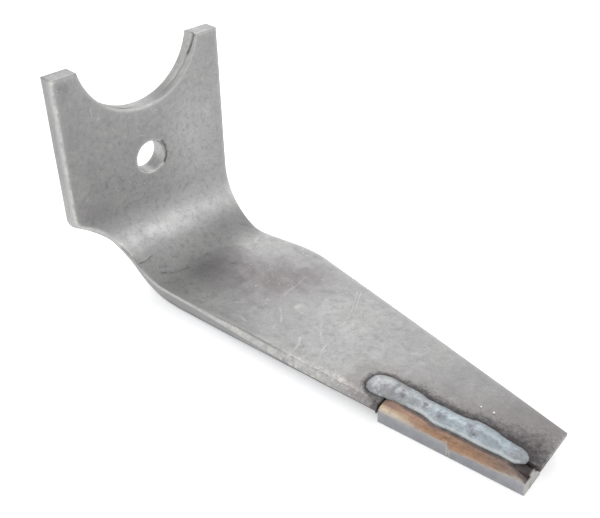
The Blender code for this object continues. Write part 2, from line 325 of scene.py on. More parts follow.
def fill(outer, holes, extra):
    """Triangles over a loop with holes: the points used, and the triangles as rows of point numbers."""
    points = np.vstack([outer] + holes + [extra])
    edges, first = [], 0
    for loop in [outer] + holes:
        edges += [(first + i, first + (i + 1) % len(loop)) for i in range(len(loop))]
        first += len(loop)
    made = delaunay_2d_cdt([Vector(p) for p in points], edges, [], INNER_TRIANGLES, FILL_EPSILON)
    places, triangles, sources = made[0], made[2], made[3]
    assert len(places) == len(points)
    triangles = np.array([[sources[i][0] for i in triangle] for triangle in triangles])
    for loop in holes:
        triangles = triangles[~inside(points[triangles].mean(1), loop)]
    a, b, c = (points[triangles[:, k]] for k in range(3))
    turned = (b[:, 0] - a[:, 0]) * (c[:, 1] - a[:, 1]) - (b[:, 1] - a[:, 1]) * (c[:, 0] - a[:, 0]) < 0
    triangles[turned] = triangles[turned][:, ::-1]
    return points, triangles


def inward(loop):
    """Direction into the material at each point of a loop, mitred at corners."""
    after = np.roll(loop, -1, axis=0) - loop
    before = loop - np.roll(loop, 1, axis=0)
    turned = [np.column_stack((-d[:, 1], d[:, 0])) / np.hypot(*d.T)[:, None] for d in (before, after)]
    middle = turned[0] + turned[1]
    middle /= np.hypot(*middle.T)[:, None]
    return middle / np.maximum(MITRE_LIMIT, (middle * turned[0]).sum(1))[:, None]


def show(thing):
    """Link an object to the scene."""
    bpy.context.scene.collection.objects.link(thing)
    return thing


def add_piece(name, places, faces, look, node, values):
    """Closed, smoothly shaded piece that stands for a CAD node, with the numbers that its material reads."""
    mesh = bpy.data.meshes.new(name)
    mesh.from_pydata([tuple(p) for p in places], [], [tuple(int(i) for i in face) for face in faces])
    body = bmesh.new()
    body.from_mesh(mesh)
    bmesh.ops.recalc_face_normals(body, faces=body.faces)
    body.to_mesh(mesh)
    body.free()
    mesh.materials.append(look)
    mesh.shade_smooth()
    for key, value in values.items():
        layer = mesh.attributes.new(key, "FLOAT", "POINT")
        layer.data.foreach_set("value", np.asarray(value, np.float32))
    piece = show(bpy.data.objects.new(name, mesh))
    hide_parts(node)
    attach(piece, "root")
    return piece


def roughen(piece, waves):
    """Push the surface in by soft noise; waves are (wavelength, amplitude) pairs."""
    found = {}
    for key in ("co", "normal"):
        found[key] = np.empty(len(piece.data.vertices) * 3)
        piece.data.vertices.foreach_get(key, found[key])
    places, normals = (value.reshape(-1, 3) for value in found.values())
    depth = np.zeros(len(places))
    for length, amount in waves:
        depth += [amount * (0.5 + 0.5 * lump(p, length)) for p in places]
    piece.data.vertices.foreach_set("co", (places - normals * depth[:, None]).ravel())
    piece.data.update()


# ---- Shader helpers ----

class Nodes:
    """Node tree in the making."""

    def __init__(self, tree):
        self.tree = tree

    def put(self, kind, inputs=None, **settings):
        """Add a node, set its options, and set or link its inputs."""
        made = self.tree.nodes.new("ShaderNode" + kind)
        for name, value in settings.items():
            setattr(made, name, value)
        for key, value in (inputs or {}).items():
            if isinstance(value, bpy.types.NodeSocket):
                self.tree.links.new(value, made.inputs[key])
            else:
                made.inputs[key].default_value = value
        return made

    def step(self, value, start, end, low=0.0, high=1.0):
        """Soft step of a value between two limits."""
        return self.put("MapRange", {"Value": value, "From Min": start, "From Max": end, "To Min": low,
                                     "To Max": high}, interpolation_type="SMOOTHSTEP").outputs["Result"]

    def calc(self, operation, first, second=0.0):
        """One sum on two values."""
        return self.put("Math", {0: first, 1: second}, operation=operation).outputs["Value"]

    def times(self, first, second):
        """Product of two values."""
        return self.calc("MULTIPLY", first, second)

    def mix(self, share, *colours):
        """Mix of two colours."""
        first, second = (c if isinstance(c, bpy.types.NodeSocket) else (*c, 1.0) for c in colours)
        return self.put("Mix", {0: share, 6: first, 7: second}, data_type="RGBA").outputs[2]


class Look(Nodes):
    """Material in the making: each layer of colour covers those before it."""

    def __init__(self, name, metallic):
        self.made = bpy.data.materials.new(name)
        self.made.use_nodes = True
        super().__init__(self.made.node_tree)
        self.shader = self.tree.nodes["Principled BSDF"]
        self.shader.inputs["Metallic"].default_value = metallic
        self.where = self.put("TexCoord").outputs["Object"]
        self.colour = None

    def grain(self, length, detail=3.0, rough=0.55, warp=0.0, vector=None):
        """Noise from 0 to 1 whose blotches are about as long as length."""
        return self.put("TexNoise", {"Vector": self.where if vector is None else vector, "Scale": 1 / length,
                                     "Detail": detail, "Roughness": rough, "Distortion": warp}).outputs["Fac"]

    def lines(self, scale, detail, rough):
        """Noise drawn out into lines by a different scale along each axis."""
        vector = self.put("Mapping", {"Vector": self.where, "Scale": scale}).outputs["Vector"]
        return self.grain(1.0, detail, rough, vector=vector)

    def read(self, name):
        """Value that the mesh carries at each vertex."""
        return self.put("Attribute", attribute_name=name).outputs["Fac"]

    def base(self, noise, first, second):
        """First colour, clouded by a noise."""
        self.colour = self.mix(self.step(noise, 0.3, 0.7), first, second)

    def cover(self, share, colour):
        """Lay a colour over a share of the colour so far."""
        self.colour = self.mix(share, self.colour, colour)

    def layer(self, colour, noise, start, end, low=0.0, high=1.0, by=None):
        """Cover by a soft step of a noise, times a value of the mesh or of a node: the share covered."""
        share = self.step(noise, start, end, low, high)
        if by is not None:
            share = self.times(self.read(by) if isinstance(by, str) else by, share)
        self.cover(share, colour)
        return share

    def finish(self, roughness, height, depth):
        """Link colour, roughness and bump to the shader: the finished material."""
        bump = self.put("Bump", {"Height": height, "Distance": depth, "Strength": 1.0}).outputs["Normal"]
        for name, value in (("Base Color", self.colour), ("Roughness", roughness), ("Normal", bump)):
            self.tree.links.new(value, self.shader.inputs[name])
        return self.made


# ---- Materials ----

def forged_steel():
    """Matt grey steel with light scale, scratches, worn edges and soot beside the weld, and painted light and
    shade on the bend, the bevels and in the creases.
    """
    look = Look("forged_steel_look", 0.75)
    blotch = look.grain(0.007, 4.0, 0.6, 0.6)
    small = look.grain(0.0028, 3.0, 0.65, 0.4)
    fine = look.grain(0.0011, 3.0, 0.6)
    look.base(look.grain(0.026, 2.0), (0.262, 0.262, 0.264), (0.302, 0.301, 0.297))
    # Painted light: the light zones pale the steel, standing in for the bend's highlight and for light on the
    # plate and the blade
    painted_light = look.step(small, 0.25, 0.7, 0.7, 1.0)
    painted_light = look.times(look.read("painted_light"), painted_light)
    look.cover(painted_light, (0.46, 0.46, 0.455))
    look.layer((0.355, 0.354, 0.348), blotch, 0.35, 0.7, 0.0, 0.40)
    look.layer((0.22, 0.219, 0.222), small, 0.46, 0.70, 0.0, 0.60)
    look.layer((0.42, 0.418, 0.41), small, 0.46, 0.28, 0.0, 0.35)
    look.layer((0.20, 0.199, 0.202), fine, 0.5, 0.72, 0.0, 0.40)
    # Fine lines along the rolled and sheared sides of the plate
    streaks = look.lines((1100.0, 45.0, 45.0), 3.0, 0.6)
    look.layer((0.19, 0.19, 0.195), streaks, 0.48, 0.68, 0.0, 0.6, by="side")
    # Soft darker, warmer colour: heat scale where the bend was heated, and partly painted shade and a painted
    # dark reflection of the plate beside the bend
    look.layer((0.170, 0.156, 0.158), blotch, 0.2, 0.6, 0.7, 1.0, by="scale_and_shade")
    # Light flecks and hairlines in loose groups, thickest in the painted light, where they speckle the
    # painted highlight on the bend
    group = look.calc("MAXIMUM", look.step(look.grain(0.014, 2.0), 0.5, 0.66, 0.15, 0.8), painted_light)
    look.layer((0.50, 0.498, 0.49), look.grain(0.0013, 2.0, 0.5), 0.62, 0.72, 0.0, 0.5, by=group)
    hair = look.calc("ABSOLUTE", look.calc("SUBTRACT", look.grain(0.0065, 2.0, 0.5, 0.5), 0.5))
    hair = look.times(look.step(hair, 0.02, 0.006, 0.0, 0.5), group)
    look.layer((0.50, 0.497, 0.49), small, 0.45, 0.6, by=hair)
    scratch = look.layer((0.50, 0.495, 0.48), small, 0.38, 0.62, 0.05, 0.62, by="scratch")
    # Pale worn edges, and painted light on the leading edge's bevel so that it shows as bright as the top
    # face
    wear_and_painted_light = look.layer((0.50, 0.497, 0.485), small, 0.30, 0.6, 0.35, 1.0, by="wear_and_painted_light")
    look.layer((0.62, 0.60, 0.53), fine, 0.42, 0.6, 0.1, 0.9, by="rub")
    # Pale and dark grit along the leading edge of the blade
    speck = look.grain(0.0024, 3.0, 0.65, 0.6)
    look.layer((0.60, 0.575, 0.50), speck, 0.54, 0.64, 0.0, 0.75, by="grit")
    look.layer((0.185, 0.172, 0.165), speck, 0.46, 0.36, 0.0, 0.45, by="grit")
    # Painted shade: near black in the creases and pits, along the notch's shear groove and crack, and along
    # the leading edge's corners, lower side and side wall
    look.layer((0.07, 0.065, 0.065), small, 0.3, 0.6, 0.5, 1.0, by="mark")
    # Heat tint and ragged soot around the weld, and painted shade in the gap at the bar's start; the mesh
    # carries the distance in soot widths
    soot = look.read("soot")
    look.layer((0.215, 0.195, 0.192), blotch, 0.2, 0.7, 0.65, 1.0, by=look.step(soot, 8.0, 0.5, 0.0, 0.60))
    ragged = look.calc("ADD", soot, look.times(look.grain(0.0024, 4.0, 0.7), 2.6))
    black = look.layer((0.076, 0.070, 0.073), ragged, 3.1, 1.1, 0.0, 0.95)
    look.layer((0.10, 0.09, 0.09), fine, 0.56, 0.66, by=look.step(soot, 2.8, 1.0, 0.0, 0.85))
    rough = look.calc("ADD", look.step(blotch, 0.3, 0.7, 0.44, 0.54), look.times(black, 0.3))
    rough = look.calc("SUBTRACT", rough, look.times(wear_and_painted_light, 0.06))
    height = look.calc("ADD", look.times(small, 0.6), look.times(fine, 0.3))
    height = look.calc("SUBTRACT", height, look.times(scratch, 0.3))
    return look.finish(rough, height, 0.00012)


def weld_metal():
    """Weld metal, grey at the bead's inner end and bluish on, with brown stains beside its pores."""
    look = Look("weld_metal_look", 0.35)
    broad = look.grain(0.006, 3.0, 0.6, 0.8)
    small = look.grain(0.0016, 4.0, 0.65)
    cloud = look.step(broad, 0.35, 0.65)
    grey = look.mix(cloud, (0.275, 0.288, 0.292), (0.375, 0.395, 0.40))
    blue = look.mix(cloud, (0.305, 0.36, 0.39), (0.42, 0.488, 0.528))
    look.colour = look.mix(look.read("cold"), grey, blue)
    look.layer((0.25, 0.255, 0.285), small, 0.46, 0.70, 0.0, 0.75)
    look.layer((0.52, 0.56, 0.57), small, 0.42, 0.26, 0.0, 0.5)
    look.layer((0.20, 0.175, 0.19), small, 0.3, 0.6, 0.4, 1.0, by="stain")
    # Pale slag lip along the bead's lower edge, partly painted light on its downward-facing foot; near white
    # on the spatter
    lip = look.read("lip")
    look.cover(look.calc("MINIMUM", lip, 0.8), (0.58, 0.605, 0.61))
    look.layer((0.90, 0.92, 0.92), lip, 1.0, 1.5)
    # Painted shade: near black at the centres of the pores
    look.cover(look.read("pit"), (0.05, 0.045, 0.05))
    # Painted glints: small white flecks over the bead
    look.layer((0.60, 0.64, 0.64), look.grain(0.0013, 1.0), 0.70, 0.76, 0.0, 0.8)
    height = look.calc("ADD", small, look.times(broad, 0.6))
    return look.finish(look.step(small, 0.3, 0.7, 0.28, 0.46), height, 0.00018)


def braze_metal():
    """Copper coloured braze: a painted cream highlight at the inner end, brown and dull towards the tip."""
    look = Look("braze_look", 0.7)
    cloud = look.grain(0.005, 4.0, 0.65, 0.8)
    small = look.grain(0.0012, 3.0, 0.6)
    along, front = look.read("along"), look.read("front")
    look.base(cloud, (0.235, 0.140, 0.095), (0.325, 0.212, 0.155))
    look.layer((0.37, 0.220, 0.130), cloud, 0.35, 0.6, 0.2, 0.8, by=front)
    # Painted highlight: pale cream on the front of the inner end
    painted_highlight = look.times(look.step(along, 0.34, 0.06), front)
    look.layer((0.72, 0.60, 0.45), small, 0.3, 0.6, 0.55, 1.0, by=painted_highlight)
    look.layer((0.235, 0.20, 0.185), cloud, 0.2, 0.6, 0.6, 1.0, by=look.step(along, 0.6, 1.0, 0.0, 0.8))
    look.layer((0.20, 0.125, 0.085), small, 0.48, 0.68, 0.0, 0.55)
    look.layer((0.44, 0.41, 0.37), small, 0.3, 0.6, 0.3, 0.9, by="edge")
    # Dark: painted shade in the groove along the bead's foot, and grime at both ends of the run
    look.layer((0.085, 0.072, 0.068), cloud, 0.25, 0.6, 0.6, 1.0, by="grime_and_shade")
    return look.finish(look.step(cloud, 0.3, 0.7, 0.34, 0.5), look.calc("ADD", cloud, small), 0.00016)


def carbide():
    """Ground carbide: smooth dark grey with faint upright grinding lines and a stained upper edge."""
    look = Look("carbide_look", 0.6)
    lines = look.lines((900.0, 900.0, 60.0), 2.0, 0.5)
    look.base(look.grain(0.007, 3.0, 0.6), (0.24, 0.244, 0.26), (0.297, 0.302, 0.322))
    look.layer((0.24, 0.24, 0.255), lines, 0.4, 0.75, 0.0, 0.2)
    # Paler edges: wear and a painted edge highlight
    look.cover(look.times(look.read("wear_and_painted_light"), 0.6), (0.50, 0.49, 0.48))
    look.layer((0.50, 0.455, 0.405), look.grain(0.0025, 3.0), 0.3, 0.6, 0.3, 1.0, by="stain")
    return look.finish(look.step(lines, 0.3, 0.7, 0.36, 0.46), lines, 0.00003)


def carrier_steel():
    """Sawn steel with fine upright lines on its end, burnt scale on top beside the weld, and painted shade in
    the corner where its end meets the blade.
    """
    look = Look("carrier_steel_look", 0.7)
    lines = look.lines((1100.0, 1100.0, 120.0), 2.0, 0.5)
    cloud = look.grain(0.003, 3.0, 0.6)
    look.base(cloud, (0.31, 0.30, 0.285), (0.40, 0.39, 0.37))
    look.layer((0.30, 0.285, 0.27), lines, 0.4, 0.7, 0.0, 0.4)
    look.layer((0.095, 0.082, 0.08), cloud, 0.2, 0.5, 0.8, 1.0, by="burnt_and_shade")
    rough = look.calc("ADD", look.step(cloud, 0.3, 0.7, 0.38, 0.5), look.times(look.read("burnt_and_shade"), 0.3))
    return look.finish(rough, look.calc("ADD", cloud, lines), 0.0001)


# ---- Tine body ----

# Creases and small pits that the forging left: points, depth, half width, and the darkness painted into them
# as shade
CREASES = [
    ([(30.8, -25), (31, -22.1), (30.5, -17.7), (29.8, -15.2)], 0.09, 0.42, 0.60),
    ([(40.7, -17.6), (43.5, -14.4), (45.4, -10.4), (46.1, -5.5), (46.7, -1.9)], 0.06, 0.60, 0.42),
    ([(25.7, -25.4), (30.3, -24.9), (33.1, -24.7)], 0.08, 0.40, 0.60),
    ([(20, -28.4), (24, -27.2), (29, -26.6), (34, -26.3)], 0.03, 0.80, 0.50),
    ([(59.3, 16.8), (60.3, 18), (61.3, 19.4)], 0.15, 0.45, 0.80),
    ([(8, 33.8), (8.8, 34.4)], 0.10, 0.4, 0.40),
    ([(246.4, 17.9), (247, 18.5)], 0.10, 0.5, 0.60),
    ([(241.6, 22.6), (242.4, 23)], 0.10, 0.5, 0.60),
    ([(-29.8, 7.6), (-27, 9.3), (-23.6, 9.9), (-20.2, 9.4), (-17.6, 7.9)], 0.14, 0.80, 1),
    ([(-21.4, -26.6), (-19, -28.6), (-16.6, -29.6)], 0.03, 1.2, 0.30),
    ([(73, 51.4), (79, 50.4), (84, 50), (89, 50.2)], 0.03, 0.5, 0.30),
]
# Pale scratches: points and half width
SCRATCHES = [
    ([(126.6, 45.5), (130.6, 39.6), (135.3, 32.3), (138.1, 25.7), (140.5, 20.2)], 0.30),
    ([(128.6, 46), (132.4, 39.9), (136.8, 32.8)], 0.22),
    ([(132.1, -1.4), (135.1, -4.9), (137, -9.4), (137.6, -14)], 0.50),
    ([(145.4, 3.2), (146.7, -0.8), (149.8, -6)], 0.40),
    ([(107.4, 8.4), (111.5, 5.3), (116.4, 1)], 0.35),
    ([(116.3, -2.6), (117.5, -5.9)], 0.35),
    ([(131.4, 14.6), (134.4, 10.9), (138.3, 6.9)], 0.22),
    ([(101.6, 15.9), (100.4, 22.2), (99.5, 28.9), (98.1, 33.9)], 0.28),
    ([(113.4, 13.5), (114.3, 15.2), (112.9, 17.3)], 0.65),
    ([(85.9, -8.1), (88.2, -4.7), (92.2, -0.7)], 0.40),
    ([(79.3, -13.4), (82.6, -11.4), (83.5, -6.8)], 0.35),
    ([(134.6, 43.6), (137.1, 45.4), (140.7, 46)], 0.35),
    ([(179.3, 36.7), (183.3, 35.5), (184, 31.5), (182.3, 29.3), (178.7, 27.7)], 0.22),
    ([(94.4, -12.7), (98.5, -11), (103.8, -11.5)], 0.45),
    ([(162.5, -9), (166, -8.9), (169.5, -9.4)], 0.55),
    ([(-60.9, -31.8), (-58, -31.1), (-55.1, -32.2)], 0.28),
    ([(-51, 2.8), (-47.7, 4.3), (-48, 6.9)], 0.28),
    ([(-41.9, 1.6), (-43, 4.9), (-44, 7)], 0.28),
    ([(-39.3, 36.6), (-36.3, 38.4)], 0.35),
    ([(-37.7, -6), (-36.5, -1.1)], 0.30),
    ([(-17.1, 11.4), (-13.8, 12.6), (-18.5, 13.6)], 0.25),
]
# Warm dark scale, partly painted shade that darkens the plate and the steel beside the bend: middle, reach
# along and across, strength
SCALE_AND_SHADE_PATCHES = [
    ((64, 15), (12, 17), 0.20),
    ((75, 23), (10, 14), 0.45),
    ((94, 26), (15, 20), 0.78),
    ((86, 8), (9, 12), 0.32),
    ((108, 40), (20, 9), 0.30),
    ((-4, -38), (9, 11), 0.40),
    ((-73, -44), (7, 4.5), 0.35),
    ((248, 22), (26, 16), 0.25),
    ((177, -8), (10, 6), 0.50),
    ((-66, 42), (20, 12), 0.15),
    ((-46, -34), (22, 16), 0.12),
]
# Outline of the darkest scale on the bend, partly painted shade and a painted dark reflection of the plate,
# and its strength
SCALE_AND_SHADE_OUTLINE = [(45.5, -19), (43, -9), (42.5, -1), (41.5, 7), (43.5, 17), (45, 25), (49.5, 33),
                 (56, 33), (64, 29), (72, 24), (80, 12), (77, -2), (72, -12), (66, -22)]
SCALE_AND_SHADE_STRENGTH = 0.35
# Painted light: paler steel standing in for the bend's highlight and for light on the plate and the blade:
# middle, reach along and across, strength
PAINTED_LIGHT_ZONES = [
    ((18.5, 0), (6, 28), 0.52),
    ((34, 2), (8, 28), 0.68),
    ((44, 2), (7, 30), 0.50),
    ((58, -17), (17, 13), 1.30),
    ((79, -14), (9, 8), 0.40),
    ((-28, 28), (24, 18), 0.50),
    ((0, 4), (14, 40), 0.48),
    ((160, 14), (44, 30), 0.26),
    ((46, 40), (12, 12), 0.30),
]
# Bright rubbed spots: middle, reach along and across, strength
RUBS = [
    ((-80, -49.6), (1.6, 1.2), 1),
    ((-65.5, -49.6), (1.4, 0.9), 0.9),
    ((-5.5, -49.6), (2.6, 0.9), 0.8),
    ((-54.3, -27.9), (1.4, 1.1), 0.45),
    ((-37, 40), (3, 0.9), 0.40),
    ((-16.5, 6.6), (0.8, 0.8), 1),
    ((169.5, -9.5), (5, 2.2), 0.60),
    ((104, -18.6), (15, 1.3), 0.80),
    ((113.4, 15), (1.3, 1.6), 0.55),
]
# How pale the corners of each kind of edge are rubbed
EDGE_WEAR = {"trail": 0.45, "prong": 0.35, "notch": 0.65, "tip": 0.6}
# Bevel at the corners of each kind of edge but the leading one
EDGE_BREAKS = {"seat": 0.00015, "tip": 0.0004, "trail": EDGE_BREAK, "prong": 0.0005, "notch": 0.0003,
               "hole": 0.0004}
# How deep into the sheet scratches and creases go, and how deep the zones of colour go
MARK_DEPTH = 0.0012
ZONE_DEPTH = 0.0016
# Wall of the notch: share of the depth where the shear line lies, its half width, and its row in the section
SHEAR_SHARE = 0.37
SHEAR_HALF = 0.035
GROOVE_ROW = 4
CRACK_LENGTH = 0.013
BAR_GAP = 0.00045
# Runs between which the leading edge's upper bevel opens, takes in the side and dulls towards the bar, its
# lower corner turns into shade, and the plate's side brightens
BEVEL_OPENS = (0.080, 0.098)
BEVEL_MERGES = (0.120, 0.142)
BEVEL_DULLS = (0.145, 0.178)
BEVEL_ROUNDS = (0.118, 0.138)
LOWER_SHADE = (0.030, 0.060)
PLATE_BRIGHTENS = (-0.035, -0.012)
# Runs between which the pale walls of the notch and the hole darken
NOTCH_DARKENS = (-0.061, -0.053)
HOLE_DARKENS = (-0.022, -0.016)
# Shares of the way around the notch between which its low torn part comes and goes
LOW_TEAR_STARTS = (0.52, 0.62)
LOW_TEAR_ENDS = (0.74, 0.84)
# Grit beside the leading edge: where it begins, and its reach before and after it widens
GRIT_BEGINS = (0.116, 0.138)
GRIT_REACH = 0.0040
GRIT_MORE = 0.0030
GRIT_WIDENS = (0.150, 0.168)
# Paleness of a face right at its edges, and how far in it fades
RIM_WEAR = 0.55
RIM_REACH = 0.0007
# Wavelength and depth of the skin's soft unevenness
BODY_WAVES = [(0.016, 0.00012), (0.005, 0.00004)]
# Width of the soot in millimetres, by the way along the bar, and the value far from the weld
SOOT_ALONG = [-0.013, 0, 0.008, 0.045, 0.053, 0.060, 0.070]
SOOT_WIDTH = [1.9, 1.9, 3.4, 3.9, 5.8, 8, 9.5]
NO_SOOT = 50.0
# Outline of the bead, along and across the bar
BEAD_UPPER = [(-11, 6.9), (-12.6, 9.5), (-12.8, 12.4), (-11.9, 16.2), (-8.5, 18.7), (-3, 19.3), (5.1, 18.6),
              (9.4, 18.5), (12.9, 17.9), (16.8, 16.7), (24.4, 16.8), (32.2, 16.3), (37.7, 17), (40.9, 17.9),
              (48.7, 17.2), (52.5, 16.2), (56.2, 15.3), (60.1, 14.9), (63, 14.6), (65.5, 13.5), (67.4, 11.4),
              (67.7, 8.9)]
BEAD_LOWER = [(65.4, 6.9), (63.1, 5.8), (57, 6), (47.8, 5.8), (38, 6.1), (32.1, 6.2), (28.5, 5.7), (25, 5.7),
              (21.9, 6.5), (18.4, 7.4), (11, 7.7), (6.7, 7.7), (3.2, 7.5), (0, 6.6), (-2.5, 5.5), (-5.7, 5.4),
              (-8.7, 5.7)]
bead_loop = smooth_line(np.array(BEAD_UPPER + BEAD_LOWER + BEAD_UPPER[:1]) * MM, LOOP_STEP)[:-1]
bead_on_sheet = np.array([bar_to_sheet(a, q) for a, q in bead_loop])
lower_line = smooth_line(np.array(BEAD_LOWER[::-1]) * MM, LOOP_STEP)


def corner(outer, middle, inner):
    """Rounded corner between two points of a section, bent at the middle one."""
    return [tuple((1 - t) ** 2 * a + 2 * t * (1 - t) * b + t * t * c for a, b, c in zip(outer, middle, inner))
            for t in (index / CORNER_STEPS for index in range(CORNER_STEPS + 1))]


def bevel_rows(width, depth, rounding=SOFT_CORNER):
    """Softened bevel: (inset, depth) rows from the face to the side."""
    slope = hypot(width, depth)
    rounding, ending = min(rounding, 0.4 * slope), min(SOFT_CORNER, 0.4 * slope)
    first = (width * (1 - rounding / slope), depth * rounding / slope)
    second = (width * ending / slope, depth * (1 - ending / slope))
    middle = [tuple(a + (b - a) * k / (BEVEL_STEPS + 1) for a, b in zip(first, second))
              for k in range(1, BEVEL_STEPS + 1)]
    return (corner((width + rounding, 0.0), (width, 0.0), first) + middle
            + corner(second, (0.0, depth), (0.0, depth + ending)))


def section_rows(kind, run, shear, groove, fracture, half):
    """(inset, depth) rows around the edge of the sheet, from the inner face to the outer face."""
    if kind == "lead":
        top = bevel_rows(*top_bevel(run), SOFT_CORNER + WORN_ROUNDING * eased(run, *BEVEL_ROUNDS))
        bottom = bevel_rows(*under_bevel(run))
    else:
        top = bottom = bevel_rows(EDGE_BREAKS[kind], EDGE_BREAKS[kind])
    bottom = [(inset, wall(run) - depth) for inset, depth in reversed(bottom)]
    start, end = top[-1][1], bottom[0][1]
    shares = [shear * 0.35, min(shear * 0.75, shear - half - 0.01), shear - half, shear, shear + half]
    shares += [shear + part * (1 - shear) for part in (0.2, 0.5, 0.8)]
    insets = [0.0, 0.0, 0.1 * groove, groove, 0.6 * groove + fracture, fracture, fracture, fracture * 0.7]
    return top + [(inset, start + (end - start) * share) for inset, share in zip(insets, shares)] + bottom


def sheet_outline():
    """Loop around the flat sheet, with the kind of edge and the way along that edge at each point."""
    seat_start, seat_corner, far_seat = (np.array(bar_to_sheet(along, across)) for along, across in (
        (-BAR_GAP, 0.0), (-BAR_GAP, BAR_DEPTH + BAR_GAP), (2 * BAR_LENGTH, BAR_DEPTH + BAR_GAP)))
    seat_start[1] = leading_edge(seat_start[0])
    slant = tan(TIP_SLANT)
    direction = far_seat - seat_corner
    share = (RUN_TIP - seat_corner[0] - slant * seat_corner[1]) / (direction[0] + slant * direction[1])
    seat_end = seat_corner + share * direction
    tip_y = trailing_edge(RUN_TIP)
    tip = np.array((RUN_TIP - slant * tip_y, tip_y))
    notch_run = BEND_Z - NOTCH_Z
    opening = asin((RUN_TOP - notch_run) / NOTCH_RADIUS)
    notch = [(notch_run + NOTCH_RADIUS * sin(t), NOTCH_RADIUS * cos(t))
             for t in np.linspace(opening, pi - opening, 400)]
    segments = [
        ("lead", [(run, leading_edge(run)) for run in np.linspace(RUN_TOP, seat_start[0], 4000)]),
        ("seat", [seat_start, seat_corner]),
        ("seat", [seat_corner, seat_end]),
        ("tip", [seat_end, tip]),
        ("trail", [(run, trailing_edge(run)) for run in np.linspace(tip[0], RUN_TOP, 2000)]),
        ("prong", [(RUN_TOP, SIDE), notch[0]]),
        ("notch", notch),
        ("prong", [notch[-1], (RUN_TOP, -SIDE)]),
    ]
    made = [(kind, resample(points, EDGE_STEP)[:-1]) for kind, points in segments]
    kinds = [kind for kind, points in made for _ in points]
    along = np.concatenate([np.arange(len(points)) * EDGE_STEP for _, points in made])
    return np.vstack([points for _, points in made]), kinds, along


def wall_wear(kind, run, share):
    """How pale the side of the sheet is at a share of its depth."""
    if kind == "notch":
        return 0.62 - 0.54 * eased(run, *NOTCH_DARKENS)
    if kind == "hole":
        return 0.85 - 0.7 * eased(run, *HOLE_DARKENS)
    if kind != "lead":
        return 0.0
    if run > NECK_RUN:
        return 0.15
    front = 1 - eased(share, 0.25, 0.5)
    lower = eased(run, *PLATE_BRIGHTENS)
    return 0.1 + 0.45 * front + 0.35 * lower * (1 - front)


def tear(run, y, along, share):
    """Shear line, groove and fracture depth, and the painted shade in the groove and crack, of the notch's
    wall at a place along it.
    """
    ruffle = lump((run, y, 0.3), 0.004)
    jag = lump((run, y, 0.7), 0.0016)
    crack = eased(CRACK_LENGTH - along, 0.0, 0.003)
    low_end = eased(share, *LOW_TEAR_STARTS) * (1 - eased(share, *LOW_TEAR_ENDS))
    shear = SHEAR_SHARE + 0.02 * ruffle
    shear -= max(0.0, 1 - along / CRACK_LENGTH) * (SHEAR_SHARE - 0.12) - 0.02 * jag * crack
    bite = max(crack * (0.85 + 0.4 * jag), 0.55 * low_end, 0.12)
    return shear, 0.00012 + 0.0008 * bite, 0.00012 + 0.0001 * ruffle, min(1.0, 1.8 * bite)


def rim_of(loop, kinds, along):
    """Rows of (run, y, depth) around an edge, and each point's wear and painted light, its painted shade, and
    its grit.
    """
    directions = inward(loop)
    notch_length = max((a for a, kind in zip(along, kinds) if kind == "notch"), default=1.0)
    rows, values = [], []
    for index, ((run, y), direction, kind) in enumerate(zip(loop, directions, kinds)):
        shear, groove, fracture, dark = 0.5, 0.0, 0.0, 0.0
        if kind == "notch":
            shear, groove, fracture, dark = tear(run, y, along[index], along[index] / notch_length)
        section = section_rows(kind, run, shear, groove, fracture, SHEAR_HALF * (1 + 1.2 * dark))
        lag, opened, merged, low_side, dirty = 0.0, 0.0, 0.0, 0.0, 0.0
        if kind == "lead":
            behind = run - ramp(run, TANGENT_RUN, TANGENT_RUN + SHOULDER_LAG_FADE, SHOULDER_LAG, 0.0)
            lag = leading_edge(behind) - y
            opened = eased(run, *BEVEL_OPENS)
            merged = eased(run, *BEVEL_MERGES)
            low_side = eased(run, *LOWER_SHADE)
            dirty = 0.55 * eased(run, *BEVEL_DULLS)
        tough = EDGE_WEAR.get(kind, 0.9)
        last = len(section) - 1
        top_end = 2 * CORNER_STEPS + 1 + BEVEL_STEPS
        start, end = section[top_end][1], section[last - top_end][1]
        for row, (inset, depth) in enumerate(section):
            share = min(1.0, max(0.0, (depth - start) / (end - start)))
            rows.append((run + direction[0] * inset, y + direction[1] * inset + lag * share, depth))
            mark, grit = 0.0, merged if row <= top_end else 0.0
            # Upper corner: pale wear, painted light where the bevel merges with the side, and a thin line of
            # painted shade where it opens
            if row <= CORNER_STEPS:
                wear_and_painted_light = tough * (1 - opened) + 0.74 * merged * (1 - dirty)
                mark = 0.16 * opened * (1 - merged)
            # Bevel: pale wear, with painted light so that it shows as bright as the top face
            elif row <= CORNER_STEPS + BEVEL_STEPS:
                wear_and_painted_light = tough * (1 - opened) + (0.90 - 0.14 * merged) * opened * (1 - dirty)
            elif row <= top_end:
                wear_and_painted_light = tough * (1 - 0.3 * merged) * (1 - dirty)
            # Side wall: pale by wall_wear, with painted shade where the bevel has merged
            elif row < last - top_end:
                wear_and_painted_light = wall_wear(kind, run, share)
                mark = 0.45 * merged
            # Lower corner: painted shade under the leading edge
            else:
                wear_and_painted_light = tough * (1 - 0.85 * low_side)
                mark = (0.5 + 0.3 * merged) * low_side
            apart = abs(row - top_end - GROOVE_ROW)
            values.append((wear_and_painted_light, max(mark, dark * (1.0, 0.8)[apart] if apart < 2 else 0.0), grit, 1.0))
    return np.array(rows).reshape(len(loop), -1, 3), np.array(values)


def points_along_marks(outer, lines):
    """Close points on and beside the creases and scratches, clear of the edge."""
    points = []
    for line in lines:
        spine = resample(line, MARK_STEP)
        sides = inward(spine)[1:-1]
        points += [spine[1:-1] + sides * offset for offset in MARK_OFFSETS]
    points = np.vstack(points)
    points = points[inside(points, outer)]
    return points[distance_to(points, closed(outer)) > MARK_STEP]


